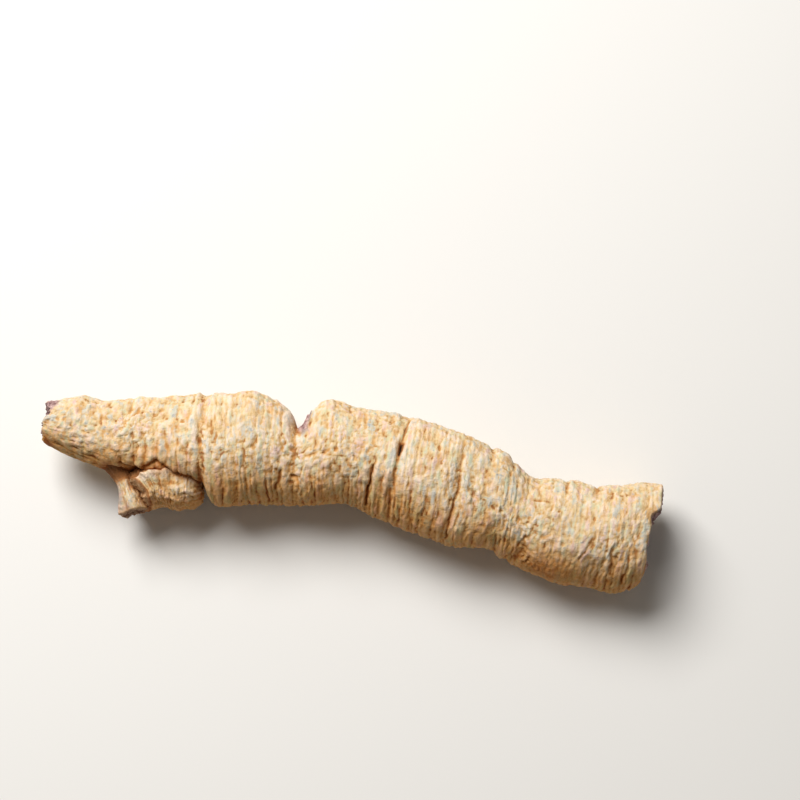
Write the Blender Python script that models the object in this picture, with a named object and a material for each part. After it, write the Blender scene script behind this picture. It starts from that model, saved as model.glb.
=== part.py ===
"""A dried morinda root lying on a table: a bent root with folded, ring-wrinkled bark, a narrow broken neck,
a lobe split off along the neck and the stump of a side root. It grew as one piece, so it is one solid.

The frame is in metres with +Z up. The origin is on the table under the middle of the root's box, +X runs
along the root to its thick cut end, and +Y is the side with the deep notch. Shapes are worked out in
millimetres and turned into metres once, where the vertices are placed.
"""

import math

import bmesh
import bpy
import numpy as np
from mathutils import Vector, noise

MM = 0.001

# How the root runs, from its neck to its thick cut end, in mm. Each station holds the middle's X, Y and Z,
# half the width and half the height there, and the heading that its section faces, in degrees from +X.
ROOT = (
    (-53.6, 12.1, 10.6, 3.5, 3.3, -6),
    (-51.0, 11.5, 10.3, 4.4, 4.2, -8),
    (-47.7, 11.0, 10.0, 5.3, 4.9, -8),
    (-43.6, 9.9, 9.8, 5.7, 5.2, -6),
    (-40.3, 9.4, 9.6, 6.3, 5.7, -3),
    (-36.0, 9.7, 9.3, 6.5, 6.2, 0),
    (-31.0, 9.9, 9.1, 6.9, 6.8, 0),
    (-27.2, 9.1, 8.9, 7.8, 7.6, 0),
    (-23.8, 7.4, 8.4, 9.6, 8.6, 0),
    (-20.0, 7.6, 8.3, 10.1, 8.9, 0),
    (-17.4, 7.9, 8.3, 10.1, 8.8, 0),
    (-13.5, 7.1, 8.4, 8.9, 8.0, 0),
    (-9.0, 6.1, 8.5, 8.4, 7.6, 0),
    (-4.5, 6.8, 8.7, 9.0, 8.2, -2),
    (0.0, 6.3, 8.9, 8.5, 7.9, -5),
    (6.0, 4.7, 8.9, 9.4, 8.3, -8),
    (12.7, 2.1, 8.9, 9.6, 8.6, -9),
    (19.5, -0.1, 8.8, 9.6, 8.5, -9),
    (25.3, -1.8, 8.7, 8.5, 7.9, -9),
    (30.0, -5.1, 8.4, 7.8, 7.5, -11),
    (36.0, -6.9, 8.3, 8.6, 8.0, -11),
    (42.0, -7.9, 8.1, 9.1, 8.4, -9),
    (46.0, -8.2, 8.1, 9.8, 8.8, -9),
    (49.0, -7.9, 8.2, 9.4, 8.5, -12),
    (51.3, -7.9, 8.4, 8.4, 7.6, -15),
)
# The lobe split off along the neck, from its blunt end beside the root to its broken end.
LOBE = (
    (-26.3, 2.2, 7.2, 3.2, 5.8, 180),
    (-28.0, 1.6, 7.1, 4.0, 6.9, 180),
    (-31.0, 1.1, 7.2, 4.2, 7.4, 184),
    (-34.0, 1.1, 7.3, 4.2, 7.1, 192),
    (-38.0, 1.2, 7.5, 4.0, 6.2, 207),
)
# The side root's stump, from where it leaves the neck to its broken end.
STUMP = (
    (-40.0, 5.0, 8.6, 2.0, 2.4, 275),
    (-39.6, 2.8, 8.4, 1.5, 2.2, 272),
    (-39.1, 0.8, 8.2, 1.4, 2.3, 276),
    (-38.5, -1.2, 8.0, 2.0, 2.6, 278),
    (-38.0, -3.6, 7.8, 2.4, 2.8, 275),
)
BOX_MIDDLE = (-0.4, -0.15)  # X and Y of the middle of the whole root's box, in the stations' own frame

FOLD_WIDTH = 2.0  # of one bark fold along the root, valley to valley
RINGS_PER_FOLD = 3  # one in the valley and two on the crest
FOLD_DEPTH = 0.5  # from an average crest to its valley
FOLD_CREST = 0.6  # the power that rounds a crest and keeps its valley narrow
FOLD_STRENGTH = (0.15, 0.75, 0.55)  # the least, the average and the swing, as shares of the depth
FOLD_WANDER = 0.9  # how far a fold strays along the root as it goes round
LUMP_HEIGHT = 0.5  # of the swellings that are longer than a fold
GRAIN_HEIGHT = 0.16  # of the crumbs that break the folds up
NECK_CALM = (0.45, 14.0, 14.0)  # the neck's share of the folds, how far it holds, and how far it fades over

# How long and how wide one patch of each kind of unevenness is, along the root and round it.
WANDER_PATCH = (7.0, 8.0)
STRENGTH_PATCH = (3.1, 5.5)
LUMP_PATCH = (8.0, 9.0)
GRAIN_PATCH = (1.7, 2.6)
SMALL_PATCH = (4.0, 6.0)
MIDDLING_RADIUS = 9.0  # of the root, which turns a width round it into an angle

# Where the bark has cracked or drawn in: the X, then the turn round the root and the reach to each side of
# it in degrees, the depth and the half width along the root in mm, and the slant over the reach in mm.
# A turn of 0 is the +Y side, 90 the top, 180 the -Y side and 270 the underside.
CRACKS = (
    (-38.5, 72, 50, 0.5, 0.8, -3.0),
    (-25.4, 90, 400, 0.8, 0.8, 0.0),
    (-25.8, 190, 60, 1.3, 0.7, 0.0),
    (-9.0, 5, 85, 4.2, 1.3, 0.3),
    (-8.7, 110, 90, 0.5, 0.7, 0.0),
    (-1.5, 265, 70, 0.8, 0.7, 0.5),
    (3.8, 118, 50, 1.0, 0.6, -0.9),
    (7.9, 70, 95, 0.9, 0.6, -1.0),
    (8.6, 64, 18, 1.4, 0.5, 0.0),
    (13.0, 275, 60, 0.8, 0.7, 0.6),
    (17.6, 110, 80, 0.7, 0.6, -0.8),
    (25.6, 140, 70, 0.7, 0.6, -0.5),
    (29.3, 146, 48, 0.9, 0.7, -3.6),
    (34.0, 290, 75, 0.7, 0.7, 0.4),
    (42.0, 10, 40, 0.6, 0.6, 0.0),
)

# The ends, as rings from the rim to the hollow where the woody core broke out: the share of the section
# and how far the ring lies outside the rim, in mm.
CUT_END = ((0.93, 0.25), (0.80, 0.10), (0.55, -0.50), (0.32, -1.60), (0.20, -3.0))
BROKEN_END = ((0.88, 0.15), (0.66, -0.70), (0.48, -2.2), (0.34, -3.4), (0.20, -3.9))
ROUND_END = ((0.86, 0.35), (0.60, 0.60), (0.30, 0.70))
STUMP_END = ((0.84, 0.15), (0.55, -0.30), (0.28, -0.70))

COLUMNS = 28  # round the root
SMALL_COLUMNS = 16  # round the lobe and the stump
STUMP_RINGS = 7
RIM_REACH = 5.0  # how far from an end the bark follows its ragged rim
RAGGED = 0.45  # how far a broken rim strays from its plane
NECK_SLANT = 0.6  # how much further the neck reaches at its top than in its middle
NECK_CHIP = (1.5, 55, 32)  # broken out of the neck's rim: its depth, its turn and its reach in degrees
STUMP_SLANT = 0.6  # how far the stump's broken end leans back at its top
STUMP_RIBS = (0.28, 5)  # the height and the number of the wrinkles that run along the stump
TABLE_BLOCK = (160.0, 80.0, 20.0)  # cuts the root off flat where it presses on the table


class Run:
    """A smooth run through stations: what a station holds, at any distance along them."""

    def __init__(self, stations):
        self.rows = np.array(stations)
        spans = np.linalg.norm(np.diff(self.rows[:, :2], axis=0), axis=1)
        self.marks = np.concatenate(([0.0], np.cumsum(spans)))
        self.slopes = np.gradient(self.rows, self.marks, axis=0)
        self.length = float(self.marks[-1])
        self.folds = round(self.length / FOLD_WIDTH)

    def at(self, distance):
        """A cubic curve from one station to the next, with the same slope on both sides of each."""
        k = int(np.clip(np.searchsorted(self.marks, distance) - 1, 0, len(self.marks) - 2))
        span = self.marks[k + 1] - self.marks[k]
        t = (distance - self.marks[k]) / span
        return (
            (2 * t**3 - 3 * t**2 + 1) * self.rows[k]
            + (t**3 - 2 * t**2 + t) * span * self.slopes[k]
            + (3 * t**2 - 2 * t**3) * self.rows[k + 1]
            + (t**3 - t**2) * span * self.slopes[k + 1]
        )

    def section(self, distance):
        """The middle, the onward and sideways directions and the two half sizes of the section there."""
        *middle, wide, high, heading = self.at(distance)
        onward = Vector((math.cos(math.radians(heading)), math.sin(math.radians(heading)), 0.0))
        return Vector(middle), onward, Vector((-onward.y, onward.x, 0.0)), wide, high

    def distance_at(self, x):
        """How far along the run its middle passes this X. The run's X has to grow."""
        return float(np.interp(x, self.rows[:, 0], self.marks))


ROOT_RUN = Run(ROOT)
LOBE_RUN = Run(LOBE)
STUMP_RUN = Run(STUMP)
CRACK_MARKS = [ROOT_RUN.distance_at(crack[0]) for crack in CRACKS]


def bark_noise(distance, turn, patch, seed):
    """Smooth noise from about -1 to 1 over the bark, in patches of this length and width."""
    along, around = patch
    across = MIDDLING_RADIUS / around
    place = (distance / along + seed, across * math.cos(turn) - seed, across * math.sin(turn))
    return 1.6 * noise.noise(Vector(place))


def fade(distance, reach):
    """From 0 at no distance to 1 at the reach, smoothly."""
    t = min(1.0, max(0.0, distance / reach))
    return t * t * (3 - 2 * t)


def degrees_from(turn, middle):
    """How far a turn lies from another in degrees, the short way round."""
    return (math.degrees(turn) - middle + 180) % 360 - 180


def crack_depth(distance, turn):
    """How far the cracks draw the bark in at a place."""
    total = 0.0
    for mark, (_, middle, reach, depth, half_width, slant) in zip(CRACK_MARKS, CRACKS):
        off = degrees_from(turn, middle) / reach
        if abs(off) < 1:
            gone = (distance - mark - slant * off) / half_width
            total += depth * math.sqrt(1 - off * off) * math.exp(-gone * gone)
    return total


def fold_relief(phase, distance, turn, seed):
    """The bark's relief: crests and valleys by the phase of the fold, on slow swellings."""
    least, average, swing = FOLD_STRENGTH
    strength = max(least, average + swing * bark_noise(distance, turn, STRENGTH_PATCH, seed))
    crest = abs(math.sin(math.pi * phase)) ** FOLD_CREST - FOLD_CREST
    lumps = LUMP_HEIGHT * bark_noise(distance, turn, LUMP_PATCH, seed + 40)
    grain = GRAIN_HEIGHT * bark_noise(distance, turn, GRAIN_PATCH, seed + 70)
    return FOLD_DEPTH * strength * crest + lumps + grain


def ragged_rim(turn, seed):
    """How far a broken rim stands out from its plane at a turn."""
    return RAGGED * noise.noise(Vector((2.2 * math.cos(turn), 2.2 * math.sin(turn), seed)))


def neck_rim(turn):
    """The neck broke askew: its underside reaches furthest and its upper +Y side is chipped back."""
    depth, middle, reach = NECK_CHIP
    chip = math.exp(-((degrees_from(turn, middle) / reach) ** 2))
    return NECK_SLANT * math.sin(turn) + depth * chip + ragged_rim(turn, 3)


def root_bark(share, turn):
    """Where a place on the root's bark lies along it, and how far its relief stands out."""
    straight = share * ROOT_RUN.length
    from_neck = fade(straight, RIM_REACH)
    from_cut = fade(ROOT_RUN.length - straight, RIM_REACH)
    wander = FOLD_WANDER * from_neck * from_cut * bark_noise(straight, turn, WANDER_PATCH, 11)
    rims = (1 - from_neck) * neck_rim(turn) + (1 - from_cut) * ragged_rim(turn, 7)
    distance = straight + wander + rims
    least, held, fading = NECK_CALM
    calm = least + (1 - least) * fade(straight - held, fading)
    raised = calm * fold_relief(share * ROOT_RUN.folds, straight, turn, 5)
    return distance, raised - crack_depth(distance, turn)


def lobe_bark(share, turn):
    straight = share * LOBE_RUN.length
    wander = 0.5 * FOLD_WANDER * fade(share, 0.1) * bark_noise(straight, turn, SMALL_PATCH, 21)
    return straight + wander, 0.7 * fold_relief(share * LOBE_RUN.folds, straight, turn, 25)


def stump_bark(share, turn):
    """The stump's wrinkles run along it, and its broken end is ragged."""
    straight = share * STUMP_RUN.length
    height, count = STUMP_RIBS
    ribs = height * math.sin(count * turn + 1) + GRAIN_HEIGHT * bark_noise(straight, turn, GRAIN_PATCH, 33)
    askew = ragged_rim(turn, 9) - STUMP_SLANT * math.sin(turn)
    return straight + share * askew, ribs * fade(share, 0.4)


def tube(name, columns, rings):
    """A closed unit cylinder cut into rings, which grow() draws over a run."""
    shape = bmesh.new()
    bmesh.ops.create_cone(shape, cap_ends=True, segments=columns, radius1=1, radius2=1, depth=1)
    upright = [e for e in shape.edges if abs(e.verts[0].co.z - e.verts[1].co.z) > 0.5]
    bmesh.ops.subdivide_edges(shape, edges=upright, cuts=rings - 2)
    mesh = bpy.data.meshes.new(name)
    shape.to_mesh(mesh)
    shape.free()
    return bpy.data.objects.new(name, mesh)


def grow(name, run, columns, rings, ends, bark):
    """Draws a tube over a run: its first and last rings fold into the ends, the others are bark."""
    first_end, last_end = ends
    total = len(first_end) + rings + len(last_end)
    piece = tube(name, columns, total)
    for vertex in piece.data.vertices:
        x, y, z = vertex.co
        turn = math.atan2(y, x)
        ring = round((z + 0.5) * (total - 1)) - len(first_end)
        share, out = 1.0, 0.0
        if ring < 0:
            share, out = first_end[-ring - 1]
            out = -out
        elif ring >= rings:
            share, out = last_end[ring - rings]
        distance, raised = bark(min(max(ring, 0), rings - 1) / (rings - 1), turn)
        held = min(max(distance, 0.0), run.length)
        middle, onward, side, wide, high = run.section(held)
        point = middle + side * share * math.cos(turn) * (wide + raised) + onward * (distance - held + out)
        rise = share * math.sin(turn) * (high + raised)
        vertex.co = (
            (point.x - BOX_MIDDLE[0]) * MM,
            (point.y - BOX_MIDDLE[1]) * MM,
            (point.z + rise) * MM,
        )
    piece.data.shade_smooth()
    return piece


def table_block():
    """A block whose top is the table."""
    bpy.ops.mesh.primitive_cube_add(size=1, location=(0, 0, -TABLE_BLOCK[2] * MM / 2))
    block = bpy.context.object
    block.name = "table"
    block.scale = Vector(TABLE_BLOCK) * MM
    bpy.ops.object.transform_apply(location=False, rotation=False, scale=True)
    return block


def join(root, branches, table):
    """Fuses the branches into the root, then cuts it off flat at the table."""
    helpers = bpy.data.collections.new("helpers")
    bpy.context.scene.collection.children.link(helpers)
    for helper, operation in [(b, "UNION") for b in branches] + [(table, "DIFFERENCE")]:
        for shelf in list(helper.users_collection):
            shelf.objects.unlink(helper)
        helpers.objects.link(helper)
        helper.hide_render = True
        helper.display_type = "WIRE"
        cut = root.modifiers.new(helper.name, "BOOLEAN")
        cut.operation = operation
        cut.solver = "MANIFOLD"
        cut.object = helper


def dried_bark():
    """Pale, dull, cream to peach bark."""
    material = bpy.data.materials.new("dried_bark")
    material.use_nodes = True
    shader = material.node_tree.nodes["Principled BSDF"]
    shader.inputs["Base Color"].default_value = (0.66, 0.47, 0.29, 1.0)
    shader.inputs["Roughness"].default_value = 0.85
    shader.inputs["Metallic"].default_value = 0.0
    return material


def main():
    for leftover in list(bpy.data.objects):
        bpy.data.objects.remove(leftover)
    shelf = bpy.data.collections.new("dried morinda root")
    bpy.context.scene.collection.children.link(shelf)

    rings = ROOT_RUN.folds * RINGS_PER_FOLD + 1
    root = grow("morinda_root", ROOT_RUN, COLUMNS, rings, (BROKEN_END, CUT_END), root_bark)
    shelf.objects.link(root)
    rings = LOBE_RUN.folds * RINGS_PER_FOLD + 1
    lobe = grow("lobe", LOBE_RUN, SMALL_COLUMNS, rings, (ROUND_END, STUMP_END), lobe_bark)
    stump = grow("stump", STUMP_RUN, SMALL_COLUMNS, STUMP_RINGS, (ROUND_END, STUMP_END), stump_bark)
    join(root, [lobe, stump], table_block())
    root.data.materials.append(dried_bark())


main()
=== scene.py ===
"""A dried morinda root lying on a pale table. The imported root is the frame, and three finely wrinkled
pieces dress it: the root itself, the lobe split off along its neck, and the stump of its side root."""

import math

import bmesh
import bpy
import numpy as np
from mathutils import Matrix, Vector, bvhtree, kdtree, noise


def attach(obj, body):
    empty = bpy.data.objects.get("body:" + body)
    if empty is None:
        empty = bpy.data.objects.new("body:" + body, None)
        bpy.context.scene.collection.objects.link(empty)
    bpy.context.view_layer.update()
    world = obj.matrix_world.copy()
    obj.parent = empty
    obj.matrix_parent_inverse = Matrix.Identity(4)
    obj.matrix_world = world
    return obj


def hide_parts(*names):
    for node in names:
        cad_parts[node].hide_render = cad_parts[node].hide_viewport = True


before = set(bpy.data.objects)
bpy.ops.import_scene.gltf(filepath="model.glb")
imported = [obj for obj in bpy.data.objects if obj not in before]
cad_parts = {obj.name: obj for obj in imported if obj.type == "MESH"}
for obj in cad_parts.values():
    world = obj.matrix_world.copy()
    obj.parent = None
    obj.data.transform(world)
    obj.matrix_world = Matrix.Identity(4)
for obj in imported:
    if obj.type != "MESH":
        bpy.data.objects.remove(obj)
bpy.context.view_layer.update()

MM = 0.001

# How the root runs, from its neck to its thick cut end, in mm. Each station holds the middle's X, Y and Z,
# half the width and half the height there, and the heading that its section faces, in degrees from +X.
ROOT = (
    (-53.4, 12.1, 10.6, 3.5, 3.3, -6),
    (-51.0, 11.5, 10.3, 4.4, 4.2, -8),
    (-47.7, 11.2, 10.0, 5.5, 4.9, -8),
    (-43.6, 9.9, 9.8, 5.7, 5.2, -6),
    (-40.3, 9.4, 9.6, 6.3, 5.7, -3),
    (-36.0, 9.5, 9.3, 6.7, 6.2, 0),
    (-31.0, 9.6, 9.1, 7.2, 6.8, 0),
    (-27.2, 8.9, 8.9, 8.0, 7.6, 0),
    (-23.8, 7.4, 8.4, 9.6, 8.6, 0),
    (-20.0, 7.6, 8.3, 10.1, 8.9, 0),
    (-17.8, 8.0, 8.3, 10.3, 8.9, 0),
    (-13.5, 7.0, 8.4, 9.0, 8.1, 0),
    (-9.0, 5.7, 8.5, 8.0, 7.6, 0),
    (-4.5, 6.8, 8.7, 9.0, 8.2, -2),
    (0.0, 6.3, 8.9, 8.5, 7.9, -5),
    (6.0, 4.7, 8.9, 9.4, 8.3, -8),
    (12.7, 2.1, 8.9, 9.6, 8.6, -9),
    (19.5, -0.1, 8.8, 9.6, 8.5, -9),
    (25.3, -1.8, 8.7, 8.5, 7.9, -9),
    (30.0, -5.1, 8.4, 7.8, 7.5, -11),
    (33.5, -6.1, 8.3, 8.7, 8.0, -11),
    (37.0, -6.9, 8.2, 9.2, 8.3, -10),
    (39.5, -7.4, 8.2, 8.8, 8.3, -9),
    (42.0, -7.6, 8.1, 8.8, 8.3, -9),
    (46.0, -8.0, 8.1, 9.4, 8.6, -8),
    (49.0, -7.8, 8.2, 9.3, 8.5, -8),
    (51.2, -7.6, 8.4, 8.8, 7.9, -8),
)
# The lobe split off along the neck, from its blunt end beside the root to its broken end.
LOBE = (
    (-27.0, 1.0, 7.15, 3.3, 5.1, 180),
    (-28.4, 1.2, 7.3, 3.8, 5.7, 180),
    (-31.0, 1.4, 7.5, 4.2, 6.1, 184),
    (-34.0, 1.3, 7.5, 4.1, 6.0, 202),
    (-37.5, 0.1, 7.3, 3.6, 5.3, 222),
)
# The side root's stump, from where it leaves the neck to its broken end.
STUMP = (
    (-41.3, 5.6, 8.8, 2.8, 3.2, 290),
    (-40.0, 3.4, 8.3, 2.1, 2.2, 290),
    (-39.2, 1.1, 8.3, 1.5, 2.5, 290),
    (-38.5, -1.1, 8.2, 1.9, 2.7, 288),
    (-37.9, -3.4, 7.9, 2.6, 2.7, 284),
)
BOX_MIDDLE = (-0.4, -0.15)  # X and Y of the middle of the whole root's box, in the stations' own frame

FOLD_WIDTH = 2.0  # of one bark fold along the root, valley to valley
FOLD_DEPTH = 0.5  # from an average crest to its valley
FOLD_CREST = 0.8  # the power that rounds a crest and keeps its valley narrow
FOLD_STRENGTH = (0.1, 0.7, 0.6)  # the least, the average and the swing, as shares of the depth
FOLD_SIDES = (0.3, 0.5)  # the share of a fold's strength on the +Y side and on the -Y side
SIDE_FADE = (0.3, 1.2)  # between the two, as low_side takes it
FOLD_WANDER = (0.8, 0.28)  # how far a fold strays along the root, over wide patches and over small ones
LUMP_HEIGHT = 0.5  # of the swellings that are longer than a fold
GRAIN_HEIGHT = 0.14  # of the crumbs that break the folds up
NECK_CALM = (0.4, 14.0, 14.0)  # the neck's share of the wrinkles, how far it holds, and its fading
FOLDS_SOONER = 0.6  # the folds are back after this share of those distances
SHOULDER_FOLDS = (0.7, 21.0, 6.0)  # how much stronger the folds are behind the neck, where, and how far
NOISE_REACH = 1.6  # brings the noise to about -1 to 1

# How long and how wide one patch of each kind of unevenness is, along the root and round it.
WANDER_PATCH = (7.0, 8.0)
SMALL_WANDER_PATCH = (2.4, 4.2)
STRENGTH_PATCH = (3.1, 5.5)
LUMP_PATCH = (8.0, 9.0)
GRAIN_PATCH = (1.7, 2.6)
SMALL_PATCH = (4.0, 6.0)
STRAY_PATCH = (0.9, 1.3)
LINE_PATCH = (1.2, 1.6)
LOBE_PATCH = (2.2, 3.0)
LIP_PATCH = (1.6, 2.4)
TORN_PATCH = (1.2, 2.2)
FINE_TORN_PATCH = (0.6, 0.9)
MIDDLING_RADIUS = 9.0  # of the root, which turns a width round it into an angle

# Where the bark has cracked or drawn in: the X, then the turn round the root and the reach to each side of
# it in degrees, the depth and the half width along the root in mm, and the slant over the reach in mm.
# A turn of 0 is the +Y side, 90 the top, 180 the -Y side and 270 the underside.
CRACKS = (
    (-25.4, 90, 600, 0.55, 0.9, 0.0),
    (-25.8, 195, 75, 1.6, 0.7, 0.0),
    (-9.0, 0, 72, 3.7, 1.4, 0.3),
    (-9.6, 110, 60, 0.4, 0.8, 0.0),
    (-1.5, 265, 70, 0.7, 0.7, 0.5),
    (3.8, 128, 50, 0.6, 0.6, -0.5),
    (8.0, 75, 110, 0.6, 0.7, -0.5),
    (13.0, 275, 60, 0.7, 0.7, 0.6),
    (18.0, 85, 100, 0.35, 0.8, -0.4),
    (23.0, 15, 60, 0.45, 0.6, 0.0),
    (25.6, 165, 60, 0.35, 0.6, -0.5),
    (26.9, 10, 50, 0.5, 0.5, 0.0),
    (29.6, 150, 60, 0.5, 0.8, -2.4),
    (34.0, 290, 75, 0.6, 0.7, 0.4),
    (35.6, 8, 50, 0.6, 0.5, 0.0),
    (41.0, 5, 50, 0.6, 0.7, 0.0),
)
CRACK_WANDER = 0.35  # how far a crack strays from its line

# The ends, as rings from the rim to the hollow where the woody core broke out: the share of the section
# and how far the ring lies outside the rim, in mm.
CUT_END = ((1.0, 0.0), (0.98, 0.12), (0.90, 0.20), (0.78, 0.05), (0.55, -0.50), (0.32, -1.60), (0.20, -3.0))
BROKEN_END = ((1.0, 0.0), (0.88, 0.15), (0.66, -0.70), (0.48, -2.2), (0.34, -3.4), (0.20, -3.9))
ROUND_END = ((1.0, 0.0), (0.95, 0.32), (0.82, 0.62), (0.52, 0.85), (0.25, 0.90))
STUMP_END = ((1.0, 0.0), (0.84, 0.20), (0.55, 0.05), (0.28, -0.10))
LOBE_END = ((1.0, 0.0), (0.88, 0.45), (0.60, 0.90), (0.30, 1.10))

RIM_REACH = 5.0  # how far from an end the bark follows its ragged rim
RAGGED = 0.45  # how far a broken rim strays from its plane
TEETH = 2.2  # how many times it strays, for each radius gone round it
NECK_SLANT = 0.3  # how much further back the neck's rim lies at its top than in its middle
NECK_LOW_SIDE = 0.35  # and on its -Y side
NECK_CHIP = (1.3, 58, 26)  # broken out of the neck's rim, as ridge takes it
STUMP_SLANT = 0.1  # how far the stump's broken end leans back at its top
LOBE_SLANT = 1.5  # and the lobe's
LOBE_SQUARENESS = 0.7  # the power that squares the lobe's section off
CUT_BACK = 0.8  # how far the cut rim lies back
CUT_STEP = (2.1, 60, 12)  # how far it steps out on its +Y side, the half width there and the fading
CUT_SLANT = 0.6  # how much less it steps out at the step's upper end
END_ROUGH = (0.42, 0.25)  # how rough the torn flesh is, in the root's ends and in the others
FINE_ROUGH = 0.7  # of that, the share in fine crumbs
ROUGH_RINGS = 4  # it is fully rough this many rings in from the rim
FLESH_RINGS = 3  # and fully flesh this many in
HOLLOW_PAINTED_SHADE_FADE = (0.2, 1.4)  # how far in the painted shade of the hollow starts, and over how far, in mm
STUMP_RIBS = (0.28, 5)  # the height and the number of the wrinkles that run along the stump

# The finer wrinkles, which only this scene has: their mean width, their depth, and the most waves that
# they climb round the root, in mm. Rings of two sizes, each drawn by the meeting of many waves.
RING_WAVES = 18
RINGS = (0.98, 0.16, 3)
FINE_RINGS = (0.62, 0.08, 5)
RING_SPREAD = 0.28  # how much the waves' widths differ, as a share
ANY_PHASE = 6.3  # a wave starts anywhere from 0 to here, about once round
RING_NARROWS = 2.0  # the power that keeps a ring's valley narrower than its crest
RING_CLEAR = 1.3  # how soon a ring is fully deep where the waves agree
RING_CREST = 0.35  # a crest's height over the bark, as a share of the depth
RING_SHARE = (0.7, 0.8)  # the rings' strength on top, and how much more on the low -Y side
LOW_FADE = (-0.2, 0.5)  # where that side starts, as low_side takes it
WARP = 0.24  # how far a fine wrinkle wobbles along the root
WARP_PATCH = (1.1, 1.7)
CRUMB = 0.11  # the height of the bark's crumbs
CRUMB_PATCH = (0.85, 1.1)
CRUMB_LOW = 0.4  # how much of them the low -Y side lacks
CRUMB_HIGH = (0.8, 112, 26)  # how much more the upper side has, and where, as ridge takes it
CRUMB_LONG = 0.3  # and how much the long furrows lack
# The pebbled bark: its height, a pebble's length along the root and width round it, and the gaps' width.
PEBBLE = (0.20, 0.9, 1.15, 0.45)
PEBBLE_CREST = 0.7  # the part of the height that lies in the gaps
PEBBLE_STRAY = 0.45  # how far a pebble strays from its row and column
PEBBLE_CRUMB = 0.4  # how far the crumbs push its edge
PEBBLED_ZONE_PATCH = (7.0, 6.0)
ZONE_SWING = 0.75  # how strongly the pebbled bark comes and goes
PEBBLED_ANYWHERE = (0.05, 0.05)  # how pebbled all bark is, and how much more the neck's
PEBBLED_TOP = (0.25, 105, 30)  # and how much more the top is, as ridge takes it
RINGS_LOST = (0.75, 0.7)  # the share of the rings that long furrows replace, and that pebbles do
NECK_LUMP = 0.30  # the small lumps that the neck has instead of rings
NECK_LUMP_PATCH = (1.9, 2.1)
NECK_FADE = (8.0, 8.0)  # how far the neck's own bark holds, and how far it fades over
LONG_FURROW = 0.22  # furrows along the neck's underside
LONG_FURROW_PATCH = (6.0, 1.0)
LONG_FURROW_NARROW = 0.2
LONG_FADE = (0.1, 0.8)  # where they start, as low_side takes it
PIT_DEPTH = 0.25
PIT_PATCH = (1.3, 1.9)
PIT_STARTS = (0.85, 0.25)  # the noise at a small pit's edge, and how much more at full depth
PIT_SHARE = (0.3, 0.7)  # how deep in any bark, and how much deeper in pebbled bark
PIT_STAIN = 0.6
# Where it is pebbled: the X, the turn, the half sizes along and round it in mm, and how much.
PEBBLED_PLACES = (
    (-17.0, 108, 6.0, 3.5, 0.8),
    (-1.5, 93, 5.0, 4.0, 0.9),
    (17.0, 112, 5.0, 4.0, 0.7),
    (29.8, 98, 6.5, 4.0, 1.0),
    (45.5, 118, 4.5, 3.5, 0.15),
)
CALM_PLACE = (34.5, 155, 6.0, 5.0, 0.95)  # and where it is calm, in the same way
# Drawn in beside the lobe and under the neck, and standing out above the lobe: the X, the turn, the half
# sizes and the depth.
DENTS = (
    (-27.2, 168, 1.6, 3.4, 1.1),
    (-32.0, 136, 5.0, 3.6, -0.8),
    (-38.2, 164, 2.6, 3.2, 1.0),
)
# Rings round a knot in the calm place: its X and turn, their height, spacing and reach.
CREASES = (31.6, 152, 0.11, 0.85, 3.4)
CREASE_STRAY = 0.25
FLOOR = 0.02  # the lowest that any bark reaches, so that the root lies on the table

# The crevice over the lobe: the places that it passes, each an X and a turn.
CREVICE = ((-39.4, 142), (-38.1, 150), (-36.6, 150), (-35.1, 140), (-33.3, 131), (-32.3, 138), (-31.0, 147))
# Thin lines on the bark: the half width and the depth in mm, how brown they are from 0 to 1 (above 1 they
# are also painted black inside, as shade in a deep crack), and the places that they pass.
LINES = (
    # The crevice over the lobe is browned, partly its own colour and partly painted shade.
    (0.38, 0.55, 0.9, CREVICE),
    (0.28, 0.35, 0.6, ((-31.0, 147), (-28.4, 145), (-26.1, 146))),
    (0.17, 0.22, 0.5, ((-36.5, 46), (-37.5, 57), (-38.2, 68))),
    (0.20, 0.26, 0.7, ((-38.8, 80), (-39.4, 85), (-40.2, 89))),
    (0.20, 0.28, 0.45, ((-9.6, 55), (-9.7, 85), (-9.9, 116))),
    (0.20, 0.25, 0.6, ((-11.2, 80), (-11.7, 91))),
    (0.25, 0.40, 0.7, ((-11.9, 116), (-12.5, 130), (-13.1, 144))),
    (0.22, 0.30, 0.6, ((2.7, 90), (3.3, 84), (3.9, 80))),
    (0.17, 0.70, 1.2, ((4.1, 102), (3.8, 118), (3.5, 136), (3.4, 162))),
    (0.20, 0.35, 0.5, ((8.9, 20), (8.6, 37), (8.2, 56), (8.1, 66))),
    (0.28, 0.90, 1.6, ((8.25, 67), (8.1, 73), (7.95, 81))),
    (0.20, 0.40, 0.6, ((8.0, 84), (7.7, 93), (7.7, 99), (7.9, 112), (8.3, 134), (8.6, 163))),
    (0.15, 0.12, 0.25, ((18.0, -6), (18.2, 53), (18.3, 78))),
    (0.20, 0.50, 0.8, ((18.3, 80), (18.3, 98), (17.9, 111), (17.6, 135), (17.6, 161))),
    (0.22, 0.20, 0.7, ((27.3, 190), (28.0, 165), (28.9, 141), (30.2, 117), (31.5, 107))),
    (0.25, 0.20, 0.3, ((31.5, 107), (33.0, 108), (34.2, 104))),
    (0.25, 0.25, 0.4, ((29.6, 128), (31.0, 132), (31.6, 142), (30.8, 160))),
    (0.20, 0.25, 0.4, ((30.8, 138), (30.6, 146), (30.0, 152))),
    (0.22, 0.30, 0.5, ((39.4, 126), (40.2, 112), (41.0, 100))),
    (0.22, 0.40, 0.8, ((44.9, 140), (44.7, 122), (44.5, 108))),
    (0.25, 0.40, 0.8, ((47.3, 156), (47.0, 140))),
    (0.22, 0.35, 0.7, ((50.8, 169), (50.9, 146), (50.7, 128))),
)
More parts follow.
